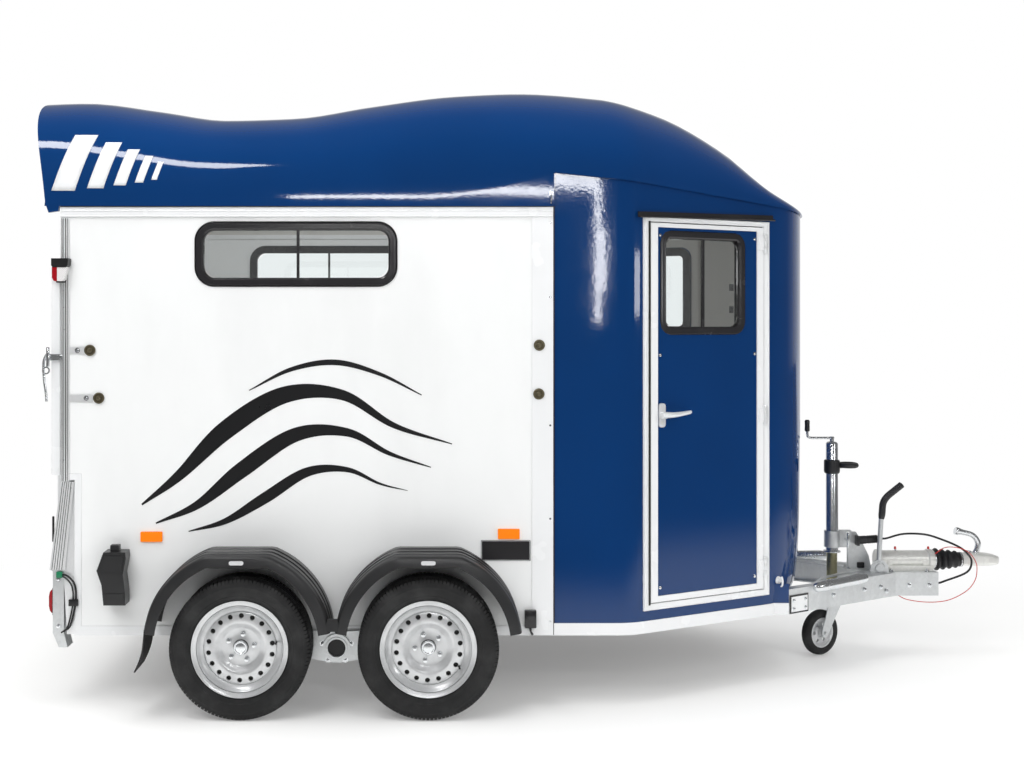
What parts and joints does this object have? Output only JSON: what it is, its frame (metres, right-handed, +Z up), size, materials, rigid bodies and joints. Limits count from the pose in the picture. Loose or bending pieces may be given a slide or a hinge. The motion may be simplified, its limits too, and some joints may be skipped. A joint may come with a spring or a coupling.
{
  "type": "horse trailer",
  "caption": "Horse trailer with tandem wheels, moulded blue nose and roof, white side walls, a groom's door, a rear ramp, and a braked drawbar with a jockey wheel.",
  "frame": {"origin": "on the ground, at mid length on the centreline", "axes": "+X forward to the coupling, +Y to the trailer's left, +Z up"},
  "size_m": [4.6177, 2.23, 2.745],
  "materials": {
    "blue_gelcoat": "deep blue polyester gelcoat, glossy",
    "white_panel": "white coated panel and rails",
    "galvanised": "hot-dip galvanised steel",
    "rim_silver": "silver painted steel",
    "tyre_rubber": "black rubber",
    "black_plastic": "charcoal black moulded plastic",
    "window_pane": "clear acrylic",
    "red_lens": "red moulded lens",
    "plywood": "phenolic coated plywood",
    "olive_zinc": "yellow passivated zinc",
    "red_sheath": "red plastic sheath over steel wire"
  },
  "bodies": {
    "trailer": {"wall_frame_right": "white_panel", "wall_panel_right": "white_panel", "side_window_right_frame": "black_plastic", "side_window_right_glass": "window_pane", "wall_frame_left": "white_panel", "wall_panel_left": "white_panel", "side_window_left_frame": "black_plastic", "side_window_left_glass": "window_pane", "nose_shell": "blue_gelcoat", "roof_shell": "blue_gelcoat", "door_frame": "white_panel", "nose_window_frame": "black_plastic", "nose_window_glass": "window_pane", "floor_deck": "plywood", "chassis_rail_right": "galvanised", "chassis_rail_left": "galvanised", "cross_member_1": "galvanised", "cross_member_2": "galvanised", "cross_member_3": "galvanised", "cross_member_4": "galvanised", "drawbar": "galvanised", "coupling_housing": "galvanised", "bellows": "black_plastic", "coupling_head": "galvanised", "handbrake_lever": "galvanised", "suspension_tube": "galvanised", "swing_arms_right": "galvanised", "swing_arms_left": "galvanised", "fenders_right": "black_plastic", "fenders_left": "black_plastic", "rear_frame": "galvanised", "tail_lamp_right": "red_lens", "marker_lamp_right": "black_plastic", "tail_lamp_left": "red_lens", "marker_lamp_left": "black_plastic", "jockey_tube": "galvanised", "jockey_bracket": "galvanised", "partition": "white_panel", "wheel_chock": "black_plastic", "cable_plug": "black_plastic", "electric_cable": "black_plastic", "breakaway_cable": "red_sheath"},
    "groom_door": {"door_edge": "white_panel", "door_panel": "blue_gelcoat", "door_window_frame": "black_plastic", "door_window_glass": "window_pane", "door_handle": "galvanised"},
    "ramp": {"ramp_frame": "white_panel", "ramp_panel": "white_panel"},
    "wheel_rear_right": {"tyre_rear_right": "tyre_rubber", "rim_rear_right": "rim_silver"},
    "wheel_front_right": {"tyre_front_right": "tyre_rubber", "rim_front_right": "rim_silver"},
    "wheel_rear_left": {"tyre_rear_left": "tyre_rubber", "rim_rear_left": "rim_silver"},
    "wheel_front_left": {"tyre_front_left": "tyre_rubber", "rim_front_left": "rim_silver"},
    "jockey_leg": {"jockey_slide": "olive_zinc"},
    "jockey_caster": {"jockey_fork": "galvanised"},
    "jockey_roller": {"jockey_wheel": "tyre_rubber"}
  },
  "joints": [
    {"name": "wheel_rear_right_spin", "type": "hinge", "parent": "trailer", "child": "wheel_rear_right", "pos_m": [-1.31, -1.0125, 0.293], "axis": [0, 1, 0], "continuous": true},
    {"name": "wheel_rear_left_spin", "type": "hinge", "parent": "trailer", "child": "wheel_rear_left", "pos_m": [-1.31, 1.0125, 0.293], "axis": [0, 1, 0], "continuous": true},
    {"name": "wheel_front_right_spin", "type": "hinge", "parent": "trailer", "child": "wheel_front_right", "pos_m": [-0.532, -1.0125, 0.293], "axis": [0, 1, 0], "continuous": true},
    {"name": "wheel_front_left_spin", "type": "hinge", "parent": "trailer", "child": "wheel_front_left", "pos_m": [-0.532, 1.0125, 0.293], "axis": [0, 1, 0], "continuous": true},
    {"name": "door_hinge", "type": "hinge", "parent": "trailer", "child": "groom_door", "pos_m": [1.00367, -0.53893, 1.25], "axis": [0, 0, 1], "range_deg": [0, 110]},
    {"name": "ramp_hinge", "type": "hinge", "parent": "trailer", "child": "ramp", "pos_m": [-2.15, 0, 0.452], "axis": [0, -1, 0], "range_deg": [0, 106]},
    {"name": "jockey_lift", "type": "slide", "parent": "trailer", "child": "jockey_leg", "axis": [0, 0, 1], "range_m": [0, 0.07]},
    {"name": "jockey_swivel", "type": "hinge", "parent": "jockey_leg", "child": "jockey_caster", "pos_m": [1.483, 0, 0.247], "axis": [0, 0, 1], "continuous": true},
    {"name": "jockey_spin", "type": "hinge", "parent": "jockey_caster", "child": "jockey_roller", "pos_m": [1.40901, -0.04184, 0.11], "axis": [-0.4923, 0.8705, 0], "continuous": true}
  ]
}
